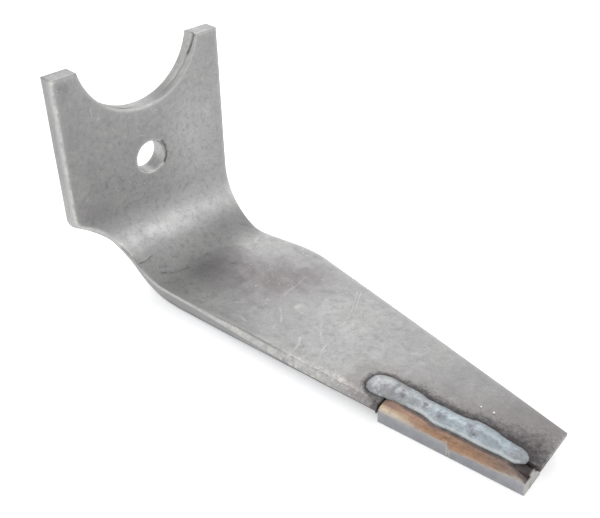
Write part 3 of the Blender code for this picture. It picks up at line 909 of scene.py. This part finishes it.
def body_skin():
    """Sheet points, faces, and the wear and painted light, painted shade, grit and side that each point
    carries.
    """
    outer, kinds, along = sheet_outline()
    hole_turn = np.linspace(0.0, -2 * pi, int(pi * HOLE_DIAMETER / EDGE_STEP) + 1)[:-1]
    radius = HOLE_DIAMETER / 2
    hole = np.column_stack((BEND_Z - HOLE_Z + radius * np.cos(hole_turn), radius * np.sin(hole_turn)))
    rims = [rim_of(outer, kinds, along), rim_of(hole, ["hole"] * len(hole), np.zeros(len(hole)))]
    count = rims[0][0].shape[1]
    sheet = [rows.reshape(-1, 3) for rows, _ in rims]
    carried = [values for _, values in rims]
    faces, starts, first = [], [], 0
    for rows, _ in rims:
        starts.append(first)
        for i in range(len(rows)):
            a, b = first + i * count, first + (i + 1) % len(rows) * count
            faces += [(a + k, a + k + 1, b + k + 1, b + k) for k in range(count - 1)]
        first += len(rows) * count
    lines = [np.array(mark[0]) * MM for mark in CREASES + SCRATCHES]
    for row, step in ((0, SKIN_STEP), (count - 1, BACK_STEP)):
        loops = [rows[:, row, :2] for rows, _ in rims]
        extra = grid_inside(loops[0], loops[1:], step)
        if row == 0:
            keep = np.min([distance_to(extra, line) for line in lines], axis=0) > MARK_CLEAR
            extra = np.vstack((extra[keep], points_along_marks(loops[0], lines)))
        points, triangles = fill(loops[0], loops[1:], extra)
        rim_count = sum(map(len, loops))
        number = [start + np.arange(len(loop)) * count + row for start, loop in zip(starts, loops)]
        number = np.concatenate(number + [first + np.arange(len(points) - rim_count)])
        inner = points[rim_count:]
        none = np.zeros(len(inner))
        sheet.append(np.column_stack((inner, none if row == 0 else [wall(run) for run in inner[:, 0]])))
        edge_gap = np.min([distance_to(inner, closed(loop)) for loop in loops], axis=0)
        lead_gap = inner[:, 1] - np.array([leading_edge(run) for run in inner[:, 0]])
        reach = GRIT_REACH + GRIT_MORE * soft(inner[:, 0], *GRIT_WIDENS)
        grit = soft(inner[:, 0], *GRIT_BEGINS) * bell(lead_gap, reach) * (row == 0)
        carried.append(np.column_stack((RIM_WEAR * np.exp(-edge_gap / RIM_REACH), none, grit, none)))
        triangles = number[triangles]
        faces += [tuple(t) for t in (triangles if row == 0 else triangles[:, ::-1])]
        first += len(inner)
    return np.vstack(sheet), faces, np.vstack(carried)


def zones_at(sheet, on_top):
    """Strength of the dark scale and painted shade, the painted light and the rubbed spots at each point."""
    flat = sheet[:, :2]
    near_top = sheet[:, 2] < ZONE_DEPTH
    zones = {}
    for name, spots in (("scale_and_shade", SCALE_AND_SHADE_PATCHES), ("painted_light", PAINTED_LIGHT_ZONES), ("rub", RUBS)):
        zones[name] = np.zeros(len(flat))
        for middle, reach, strength in spots:
            away = (((flat / MM - middle) / reach) ** 2).sum(1)
            zones[name] += strength * np.exp(-away) * near_top
    scale = np.array(SCALE_AND_SHADE_OUTLINE) * MM
    wander = np.array([lump((run, y, 0.0), 0.006) for run, y in flat]) * 0.0025
    depth_in = distance_to(flat, closed(scale)) * np.where(inside(flat, scale), 1.0, -1.0) + wander
    far_side = 0.2 + 0.8 * soft(flat[:, 1], -0.014, 0.010)
    zones["scale_and_shade"] += SCALE_AND_SHADE_STRENGTH * soft(depth_in, -0.0012, 0.0022) * far_side * on_top
    return zones


def soot_at(sheet):
    """Distance from the weld and the bar's start at each point, whichever is nearer, in widths of the soot
    there.
    """
    flat = sheet[:, :2]
    halo = distance_to(flat, closed(bead_on_sheet))
    halo[inside(flat, bead_on_sheet)] = 0.0
    # The bar's start darkens the blade too: painted shade in the gap between the blade and the bar, partly
    # soot
    bar_start = np.array([bar_to_sheet(-BAR_GAP, q) for q in (0.0015, BAR_DEPTH)])
    halo = np.minimum(halo, distance_to(flat, bar_start))
    to_bar = BAR.inverted()
    along, across, _ = np.array([to_bar @ Vector(p) for p in place(sheet)]).T
    width = np.interp(along, SOOT_ALONG, SOOT_WIDTH) * MM
    width = width * (1 + 1.1 * (across < 0.007) * soft(along, -0.010, -0.002) * (along < 0.001))
    return np.where(sheet[:, 0] > BEND_RUN, halo / width, NO_SOOT)


def near_line(flat, line, half):
    """1 on a line in millimetres, fading to its sides over its half width."""
    return bell(distance_to(flat, np.array(line) * MM), half * MM)


def build_body():
    """Skin of the tine body: both faces as fine triangles, joined by rows around every edge."""
    sheet, faces, carried = body_skin()
    wear_and_painted_light, mark, grit, side = carried.T
    flat, on_top = sheet[:, :2], sheet[:, 2] < MARK_DEPTH
    scratch = np.max([near_line(flat, line, half) for line, half in SCRATCHES], axis=0) * on_top
    for line, depth, half, dark in CREASES:
        shape = near_line(flat, line, half) * on_top
        sheet[:, 2] += depth * MM * shape
        mark = np.maximum(mark, dark * shape)
    side = side * (1 - 0.7 * soft(sheet[:, 0], 0.0, BEND_RUN))
    values = {"wear_and_painted_light": wear_and_painted_light, "mark": mark, "grit": grit, "scratch": scratch, "side": side,
              **zones_at(sheet, on_top)}
    values = {name: np.clip(value, 0.0, 1.0) for name, value in values.items()}
    values["soot"] = np.minimum(soot_at(sheet), NO_SOOT)
    piece = add_piece("tine_body_skin", place(sheet), faces, forged_steel(), "tine_body",
                      values)
    roughen(piece, BODY_WAVES)


# ---- Weld bead ----

BEAD_HEIGHT = 0.0022
BEAD_BACK_STEP = 0.002
BEAD_SINK = 0.00012
# Rounds of smoothing that make the dome, and the power that fills out its sides
DOME_ROUNDS = 500
DOME_FULLNESS = 0.62
# Way in from the bead's edge over which its base turns smooth
RIM_BLEND = 0.0015
# Pale lower lip, a slag lip whose paleness is partly painted light on the bead's downward-facing foot: way in
# from the edge, half width and height, and the higher value that brightens the spatter
LIP_INSET = 0.0006
LIP_HALF = 0.00042
LIP_RISE = 0.00018
SPATTER_LIP = 2.0
# Pores and craters on the bead, with painted shade at their centres: place along and across the bar, reach,
# depth
PORES = [((6.3, 10.5), 1, 0.35), ((-3, 11), 1.6, 0.15), ((4.9, 13.4), 0.9, 0.2), ((17.9, 12), 1.1, 0.35),
         ((43.1, 8.9), 1, 0.7), ((40.4, 11.9), 1.2, 0.3), ((26, 9.6), 0.9, 0.25)]
# Small bumps of slag: place, reach, height
BUMPS = [((5.6, 9.4), 0.8, 0.35), ((30.7, 9.4), 0.8, 0.45), ((27.5, 10.4), 0.6, 0.3), ((24, 11), 0.6, 0.3),
         ((16.5, 10.2), 0.7, 0.25)]
# Drops of spatter on the blade: run and y, radius
SPATTER = [((224.1, 20.7), 0.45), ((230.4, 21.6), 0.55)]


def dome(points, triangles, rim_count):
    """Smooth dome over a filled loop: 0 on its rim and 1 at its top."""
    pairs = np.vstack([triangles[:, (k, (k + 1) % 3)] for k in range(3)])
    pairs = np.vstack((pairs, pairs[:, ::-1]))
    weight = np.bincount(pairs[:, 0], minlength=len(points))
    height = np.zeros(len(points))
    for _ in range(DOME_ROUNDS):
        total = np.bincount(pairs[:, 0], weights=height[pairs[:, 1]], minlength=len(points))
        height = total / weight + 1.0
        height[:rim_count] = 0.0
    return height / height.max()


def bead_base(along, across):
    """Height of what the bead lies on: the blade before the bar and behind it, and the lower bar between."""
    on_bar = soft(along, -0.0006, 0.0002) * (1 - soft(across, BAR_DEPTH - 0.0002, BAR_DEPTH + 0.0006))
    return THICKNESS - BAR_DROP * on_bar


def bead_relief(points, triangles):
    """Height of the bead above its base at each point, and there its stains, the painted shade in its pores,
    and its pale lower lip, which is partly painted light.
    """
    along, across = points.T
    ripple = np.array([lump(((a - 0.25 * abs(q - 0.011)) / 0.0026, q / 0.008, 0.0)) for a, q in points])
    lumps = np.array([lump((a / 0.008, q / 0.008, 4.0)) for a, q in points])
    rise = dome(points, triangles, len(bead_loop)) ** DOME_FULLNESS
    height = BEAD_HEIGHT * rise * (0.90 + 0.08 * lumps + 0.05 * ripple)
    stain, pit = np.zeros(len(points)), np.zeros(len(points))
    for (a, q), size, depth in PORES:
        away = np.hypot(along - a * MM, across - q * MM) / (size * MM)
        height -= depth * MM * bell(away, 1.0)
        stain = np.maximum(stain, 0.75 * bell(away, 1.8))
        # Painted shade at the centre of each pore
        pit = np.maximum(pit, min(1.0, depth * 1.3) * bell(away, 0.55))
    for (a, q), size, bump in BUMPS:
        away = np.hypot(along - a * MM, across - q * MM) / (size * MM)
        height += bump * MM * bell(away, 1.0)
    lip = bell(distance_to(points, lower_line) - LIP_INSET, LIP_HALF) * soft(along, 0.006, 0.012)
    stain = np.maximum(stain, 0.35 * soft(along, 0.057, 0.064))
    return np.maximum(height + LIP_RISE * lip, 0.0), stain, pit, lip


def build_bead():
    """Weld bead: a rounded, slightly rippled ridge over the joint, plus two drops of spatter."""
    points, triangles = fill(bead_loop, [], grid_inside(bead_loop, [], BEAD_STEP))
    n, m = len(bead_loop), len(points)
    along, across = points.T
    gap = distance_to(points, closed(bead_loop))
    gap[:n] = 0.0
    height, stain, pit, lip = bead_relief(points, triangles)
    # The dome stands on the stepped base at its rim and on a smooth one further in
    slope = soft(across, 0.004, 0.0125) * soft(along, 0.0, 0.004)
    base = bead_base(along, across)
    smooth_base = BAR_TOP + BAR_DROP * np.maximum(slope, 1 - soft(along, -0.0006, 0.004))
    share = np.clip(gap / RIM_BLEND, 0.0, 1.0)
    top = np.column_stack((points, base * (1 - share) + smooth_base * share + height))
    bottom = np.column_stack((bead_loop, base[:n] - BEAD_SINK))
    back_points, back = fill(bead_loop, [], grid_inside(bead_loop, [], BEAD_BACK_STEP))
    inner = back_points[n:]
    under = np.column_stack((inner, bead_base(*inner.T) - BEAD_SINK))
    faces = [tuple(t) for t in triangles]
    faces += [(i, m + i, m + (i + 1) % n, (i + 1) % n) for i in range(n)]
    faces += [tuple(t + m) for t in back[:, ::-1]]
    world = [BAR @ Vector(p) for p in np.vstack((top, bottom, under))]
    cold = soft(along, 0.0, 0.034) * (1 - 0.5 * soft(along, 0.056, 0.064))
    values = {"cold": cold, "stain": stain, "pit": pit, "lip": 0.95 * lip * (gap > 0.0001)}
    values = {name: list(value) + [0.0] * (len(world) - m) for name, value in values.items()}
    for (run, y), size in SPATTER:
        ball = bmesh.new()
        bmesh.ops.create_icosphere(ball, subdivisions=3, radius=size * MM)
        middle = Vector(place([(run * MM, y * MM, -0.3 * size * MM)])[0])
        first = len(world)
        for vert in ball.verts:
            x, y_out, z = vert.co
            stretch = 1 + 0.2 * noise.noise(vert.co / 0.0004 + Vector((run, y, 0.0)))
            world.append(middle + Vector((x * stretch, y_out * stretch, z * 0.8)))
        for name, value in values.items():
            value += [SPATTER_LIP if name == "lip" else 0.0] * len(ball.verts)
        faces += [tuple(first + v.index for v in face.verts) for face in ball.faces]
        ball.free()
    add_piece("weld_bead_skin", world, faces, weld_metal(), "weld_bead", values)


# ---- Tip bar ----

TILE_GAP = 0.00003
CARRIER_GAP = 0.0001
BRAZE_END = 0.0002
POCKET_START = 0.0625
POCKET_OPENS = (0.0615, 0.0630)
POCKET_SIDE = 0.0009
FOOT_LEAST = 0.0012
FOOT_GAP = 0.0003
ROUND = 0.0003
# Share by which the carrier's end rings draw in to the middle of its section
END_SHRINK = 0.05
CARRIER_MIDDLE = (0.0095, 0.004)
# Places along the braze, ways in from its outer face where its front ends, and where the outer tile begins
BRAZE_STATIONS = 220
FRONT_ENDS = (0.0014, 0.0034)
OUTER_TILE = (0.0352, 0.0360)
# Lower limit of the braze on the tiles: place along the bar and height
BRAZE_LIMIT = [(0.3, 8.2), (6, 7.9), (11.4, 8), (21.6, 7.4), (30, 7.3), (35.2, 7.4), (35.9, 4.8), (38, 4.5),
               (44, 5.1), (51, 5.3), (60.2, 5.9), (66, 7), (70.4, 7.8)]
# Outline of the burnt pocket on top, along and across the bar
POCKET = [(62.6, 5.4), (65.3, 7.4), (66.5, 9.2), (71, 9.2), (71.2, 4), (71, 1.4), (67.8, 2.4), (65.2, 2.9)]
pocket_loop = smooth_line(np.array(POCKET + POCKET[:1]) * MM, MARK_STEP)[:-1]


def loft_faces(rings, count):
    """Faces of a closed tube of rings with flat ends."""
    faces = []
    for r in range(rings - 1):
        for k in range(count):
            a, b = r * count + k, r * count + (k + 1) % count
            faces.append((a, b, b + count, a + count))
    faces.append(tuple(range(count)))
    faces.append(tuple(reversed(range((rings - 1) * count, rings * count))))
    return faces


def build_braze():
    """Run of braze: a lumpy fillet from the foot of the bead over the top edge of the tiles."""
    stations = np.linspace(BRAZE_END, BAR_LENGTH - BRAZE_END, BRAZE_STATIONS)
    places, values = [], []
    for a in stations:
        limit = float(np.interp(a, *(np.array(BRAZE_LIMIT) * MM).T))
        limit += 0.0004 * lump((a / 0.003, 0.0, 1.0)) + 0.0002 * lump((a / 0.001, 0.0, 2.0))
        low = min(limit, TILE_TOP - 0.0004)
        # The run starts where the bead ends, and leaves its line beside the burnt pocket
        back = float(np.interp(min(a, POCKET_START), *lower_line.T)) - 0.0001
        back -= 0.45 * max(0.0, a - POCKET_START)
        sag = 0.00015 * lump((a / 0.006, 0.0, 3.0))
        pocket = eased(a, *POCKET_OPENS)
        first, flat_end = back - 0.0005, min(0.0036, back * 0.6)
        ring = [(max(back + 0.0003, 0.0042), BAR_TOP + 0.00002 - 0.001 * pocket),
                (back, BAR_TOP + 0.00003 - 0.001 * pocket)]
        ring += [(first + (flat_end - first) * share, BAR_TOP + 0.00005 - 0.0002 * pocket)
                 for share in (0.0, 0.18, 0.36, 0.55, 0.75, 1.0)]
        ring += [(min(0.0022, back * 0.4), BAR_TOP - 0.0002 + sag), (0.0011, BAR_TOP - 0.0005 + sag),
                 (0.0004, BAR_TOP - 0.0010), (-0.00005, BAR_TOP - 0.0016),
                 (-0.00008, (BAR_TOP - 0.0017 + low) / 2), (-0.00006, low + 0.00015), (0.00005, low),
                 (0.0006, low), (0.0012, TILE_TOP - 0.0001), (max(back - 0.0002, 0.0041), TILE_TOP - 0.0001)]
        feather = 0.0008 + 0.0010 * eased(a, *OUTER_TILE)
        for q, z in ring:
            places.append(BAR @ Vector((a, q, z)))
            edge = 1 - eased(z - limit, 0.2 * feather, feather) if q < 0.0008 else 0.0
            # Painted shade in the groove along the bead's foot; grime at the outer and inner ends
            groove = eased(q, back - 0.0027, back - 0.0013) * eased(a, 0.003, 0.010)
            outer_end = 0.3 * eased(q, 0.0008, 0.003) * eased(a, 0.040, 0.055)
            inner_end = 0.55 * (1 - eased(a, 0.002, 0.014)) * eased(q, 0.0016, 0.0040)
            grime_and_shade = max(groove, outer_end, inner_end)
            values.append((a / BAR_LENGTH, edge, grime_and_shade, 1 - eased(q, *FRONT_ENDS)))
    values = dict(zip(("along", "edge", "grime_and_shade", "front"), np.array(values).T))
    add_piece("braze_skin", places, loft_faces(len(stations), len(ring)), braze_metal(), "braze_run",
              values)


def soft_box(low, high, radius, step):
    """Box with rounded edges and its faces divided evenly: its corners, on the bar, and its faces."""
    body = bmesh.new()
    bmesh.ops.create_cube(body, size=1.0)
    low, high = Vector(low), Vector(high)
    for vert in body.verts:
        share = vert.co + Vector((0.5, 0.5, 0.5))
        vert.co = low + Vector(a * b for a, b in zip(share, high - low))
    for axis in range(3):
        length = (high - low)[axis]
        count = int(length / step)
        for index in range(1, count):
            spot = low.copy()
            spot[axis] += length * index / count
            bmesh.ops.bisect_plane(body, geom=body.verts[:] + body.edges[:] + body.faces[:], plane_co=spot,
                                   plane_no=[float(k == axis) for k in range(3)])
    sharp = [edge for edge in body.edges if len(edge.link_faces) == 2 and edge.calc_face_angle() > 1.0]
    bmesh.ops.bevel(body, geom=sharp, offset=radius, segments=3, profile=0.5, affect="EDGES")
    body.verts.index_update()
    corners = np.array([vert.co for vert in body.verts])
    faces = [[vert.index for vert in face.verts] for face in body.faces]
    body.free()
    return corners, faces


def build_tiles():
    """Two carbide tiles, butted with a fine joint."""
    joint = BAR_LENGTH / 2
    look = carbide()
    for end, start, stop in (("inner", 0.0, joint - TILE_GAP), ("outer", joint + TILE_GAP, BAR_LENGTH)):
        corners, faces = soft_box((start, 0.0, 0.0), (stop, TILE_THICKNESS, TILE_TOP), TILE_ROUND, TILE_STEP)
        along, across, height = corners.T
        near_edge = np.sort((along - start, stop - along, across, height), axis=0)[1]
        at_joint = bell(along - joint, 0.0004) * soft(height, 0.0005, 0.003)
        stains = (0.35 * soft(height, 0.0045, TILE_TOP), 0.9 * at_joint,
                  0.35 * soft(along, BAR_LENGTH - 0.0008, BAR_LENGTH - 0.0001))
        # Edges paler by wear and a painted edge highlight; stains along the upper edge, at the joint and at
        # the outer end
        values = {"wear_and_painted_light": np.exp(-np.maximum(near_edge, 0.0) / 0.0003), "stain": np.max(stains, axis=0)}
        node = "carbide_tile_" + end
        add_piece(node + "_skin", [BAR @ Vector(p) for p in corners], faces, look, node, values)


def build_carrier():
    """Steel carrier behind the tiles: an upright leg, and a foot that laps under the blade."""
    face = TILE_THICKNESS + CARRIER_GAP
    upper = [(face + 0.0004, 0.0)] + [(face, z) for z in np.linspace(0.0004, BAR_TOP - ROUND, 10)]
    upper += [(q, BAR_TOP) for q in np.linspace(face + ROUND, BAR_DEPTH - ROUND, 11)]
    stations = np.concatenate((np.linspace(0.0, 0.060, 24, endpoint=False),
                               np.arange(0.060, BAR_LENGTH, 0.0005), [BAR_LENGTH]))
    places, burnt_and_shade = [], []
    for a in stations:
        foot = max(FOOT_LEAST, THICKNESS - wall(bar_to_sheet(a, FOOT_DEPTH)[0]) - FOOT_GAP)
        shrink = END_SHRINK if a in (stations[0], stations[-1]) else 0.0
        ring = upper + [(BAR_DEPTH, BAR_TOP - ROUND), (BAR_DEPTH, foot + 0.0004), (BAR_DEPTH + 0.0002, foot),
                        (FOOT_DEPTH - 0.0004, foot), (FOOT_DEPTH, foot - ROUND), (FOOT_DEPTH, ROUND),
                        (FOOT_DEPTH - ROUND, 0.0)]
        flat = np.array([(a, q) for q, _ in ring])
        depth_in = np.clip(distance_to(flat, closed(pocket_loop)) / POCKET_SIDE, 0.0, 1.0)
        scorch = eased(a, 0.060, 0.0625) * (1 - eased(a, BAR_LENGTH - 0.0008, BAR_LENGTH - 0.0003))
        for (q, z), pocket in zip(ring, inside(flat, pocket_loop) * depth_in):
            on_top = z > BAR_TOP - 0.0005
            if on_top:
                z -= pocket * (0.0009 + 0.0004 * lump((a, q, 0.0), 0.0012))
            q, z = (value + (middle - value) * shrink for value, middle in zip((q, z), CARRIER_MIDDLE))
            places.append(BAR @ Vector((a, q, max(0.0, z))))
            # Burnt scale on top beside the pocket, and painted shade in the upper back corner of the end,
            # where it meets the blade
            burnt_and_shade.append(max(scorch * on_top, 0.9 * (a > BAR_LENGTH - 0.001 and q > 0.0078 and z > 0.0072)))
    add_piece("tip_carrier_skin", places, loft_faces(len(stations), len(ring)), carrier_steel(),
              "tip_carrier", {"burnt_and_shade": burnt_and_shade})


# ---- Stage, light and camera ----

CAMERA_PLACE = Vector((0.24756, -0.24307, 0.28984))
CAMERA_AIM = Vector((-0.00985, 0.00161, 0.05))
CAMERA_ROLL = radians(-1.11)
CAMERA_FOCUS = 908.31 / 600
SENSOR_WIDTH = 36.0
ROOM_LIGHT = 0.70
FLOOR_GLOW = 0.39
FLOOR_HALF = 15.0
FLOOR_DROP = 0.00005
# Soft boxes around the room: azimuth, height above the horizon and reach in degrees, and strength
SOFT_BOXES = [(32, 23, 22, 4.3), (140, 34, 26, 2.7), (-119, 12, 28, 0.9), (-137, 50, 24, 1.5)]


def build_floor():
    """Plain pale floor, far wider than the view."""
    look = Look("floor_look", 0.0)
    look.colour = look.mix(look.grain(0.4, 1.0), (0.93, 0.93, 0.93), (0.95, 0.95, 0.95))
    look.tree.links.new(look.colour, look.shader.inputs["Base Color"])
    for name, value in (("Roughness", 0.9), ("Emission Color", (0.97, 0.985, 1.0, 1.0)),
                        ("Emission Strength", FLOOR_GLOW)):
        look.shader.inputs[name].default_value = value
    body = bmesh.new()
    bmesh.ops.create_grid(body, x_segments=1, y_segments=1, size=FLOOR_HALF)
    mesh = bpy.data.meshes.new("floor")
    body.to_mesh(mesh)
    body.free()
    mesh.materials.append(look.made)
    floor = show(bpy.data.objects.new("floor", mesh))
    floor.location.z = -FLOOR_DROP


def build_light():
    """Even room light with soft boxes."""
    world = bpy.data.worlds.new("studio")
    world.use_nodes = True
    nodes = Nodes(world.node_tree)
    background = nodes.tree.nodes["Background"]
    background.inputs["Color"].default_value = (0.998, 0.996, 1.0, 1.0)
    direction = nodes.put("TexCoord").outputs["Generated"]
    strength = ROOM_LIGHT
    for azimuth, rise, reach, power in SOFT_BOXES:
        turn, level = radians(azimuth), cos(radians(rise))
        aim = [level * cos(turn), level * sin(turn), sin(radians(rise))]
        facing = nodes.put("VectorMath", {0: direction, 1: aim}, operation="DOT_PRODUCT").outputs["Value"]
        box = nodes.step(facing, cos(radians(reach)), cos(radians(reach / 4)), 0.0, power)
        strength = nodes.calc("ADD", box, strength)
    nodes.tree.links.new(strength, background.inputs["Strength"])
    bpy.context.scene.world = world


def build_camera():
    """Camera at the photograph's angle."""
    camera = bpy.data.cameras.new("camera")
    camera.sensor_width = SENSOR_WIDTH
    camera.lens = SENSOR_WIDTH * CAMERA_FOCUS
    camera.clip_start = 0.01
    eye = show(bpy.data.objects.new("camera", camera))
    facing = (CAMERA_AIM - CAMERA_PLACE).to_track_quat("-Z", "Y").to_matrix().to_4x4()
    eye.matrix_world = Matrix.Translation(CAMERA_PLACE) @ facing @ Matrix.Rotation(CAMERA_ROLL, 4, "Z")
    bpy.context.scene.camera = eye
    bpy.context.scene.view_settings.view_transform = "Standard"


build_body()
build_bead()
build_braze()
build_tiles()
build_carrier()
build_floor()
build_light()
build_camera()
